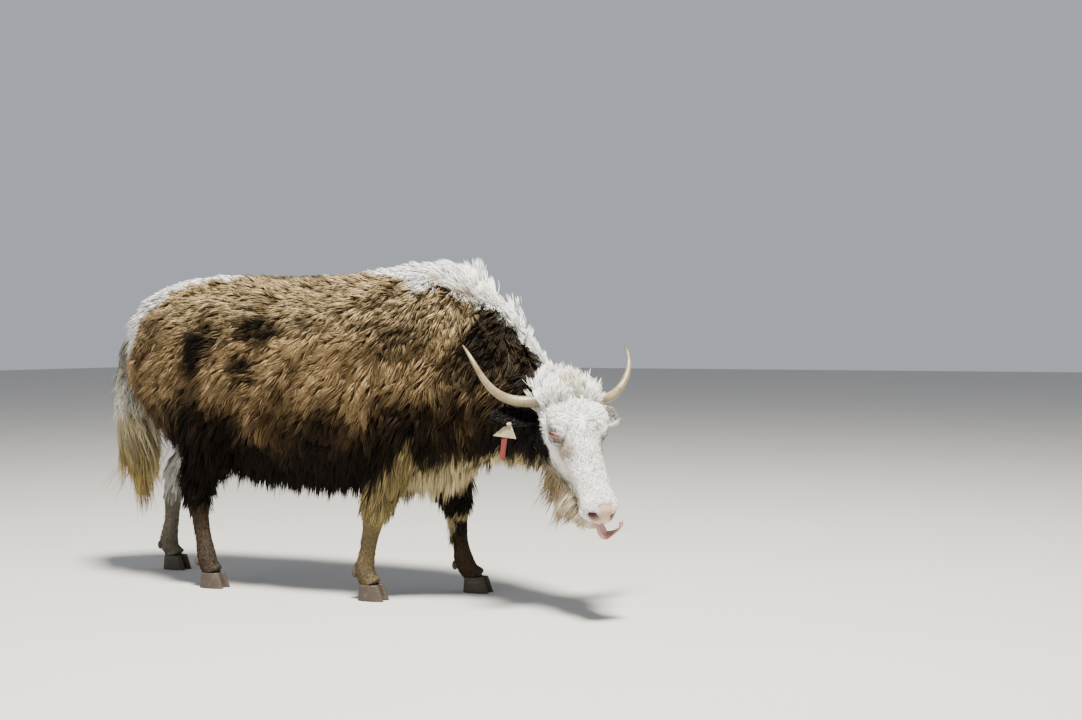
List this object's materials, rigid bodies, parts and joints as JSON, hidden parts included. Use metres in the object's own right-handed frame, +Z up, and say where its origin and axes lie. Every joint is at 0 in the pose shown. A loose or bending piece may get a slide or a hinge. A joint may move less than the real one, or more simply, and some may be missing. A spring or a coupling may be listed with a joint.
{
  "type": "domestic yak, life-size still model",
  "caption": "Life-size still model of a domestic yak walking with its head low, brown and white shaggy coat, horns, cloth ear tag.",
  "frame": {"origin": "on the floor, under the middle of the whole animal's box", "axes": "+X the way the trunk faces, +Y to the animal's left, +Z up"},
  "size_m": [2.4126, 0.6714, 1.3237],
  "materials": {
    "coat_brown": "long brown hair with straw-coloured tips",
    "coat_white": "white hair",
    "coat_cream": "cream and grey-brown hair",
    "coat_black": "near-black short hair",
    "nose": "moist bare skin",
    "tongue": "wet",
    "eye": "wet and glossy",
    "horn": "worn horn with growth rings",
    "hoof": "dull scuffed horn",
    "tag_cloth": "thick woven cloth",
    "ribbon": "thin woven ribbon"
  },
  "bodies": {
    "root": {"head": "coat_white", "muzzle": "nose", "lower_jaw": "coat_white", "tongue": "tongue", "eye_left": "eye", "horn_left": "horn", "ear_left": "coat_black", "eye_right": "eye", "horn_right": "horn", "ear_right": "coat_black", "torso": "coat_brown", "neck": "coat_brown", "tail": "coat_white", "ear_tag": "tag_cloth", "ear_ribbon": "ribbon", "fore_right_upper": "coat_brown", "fore_right_lower": "coat_cream", "fore_right_claw_outer": "hoof", "fore_right_dewclaw_outer": "hoof", "fore_right_claw_inner": "hoof", "fore_right_dewclaw_inner": "hoof", "fore_left_upper": "coat_brown", "fore_left_lower": "coat_cream", "fore_left_claw_outer": "hoof", "fore_left_dewclaw_outer": "hoof", "fore_left_claw_inner": "hoof", "fore_left_dewclaw_inner": "hoof", "hind_right_upper": "coat_brown", "hind_right_lower": "coat_cream", "hind_right_claw_outer": "hoof", "hind_right_dewclaw_outer": "hoof", "hind_right_claw_inner": "hoof", "hind_right_dewclaw_inner": "hoof", "hind_left_upper": "coat_brown", "hind_left_lower": "coat_cream", "hind_left_claw_outer": "hoof", "hind_left_dewclaw_outer": "hoof", "hind_left_claw_inner": "hoof", "hind_left_dewclaw_inner": "hoof"}
  },
  "joints": []
}
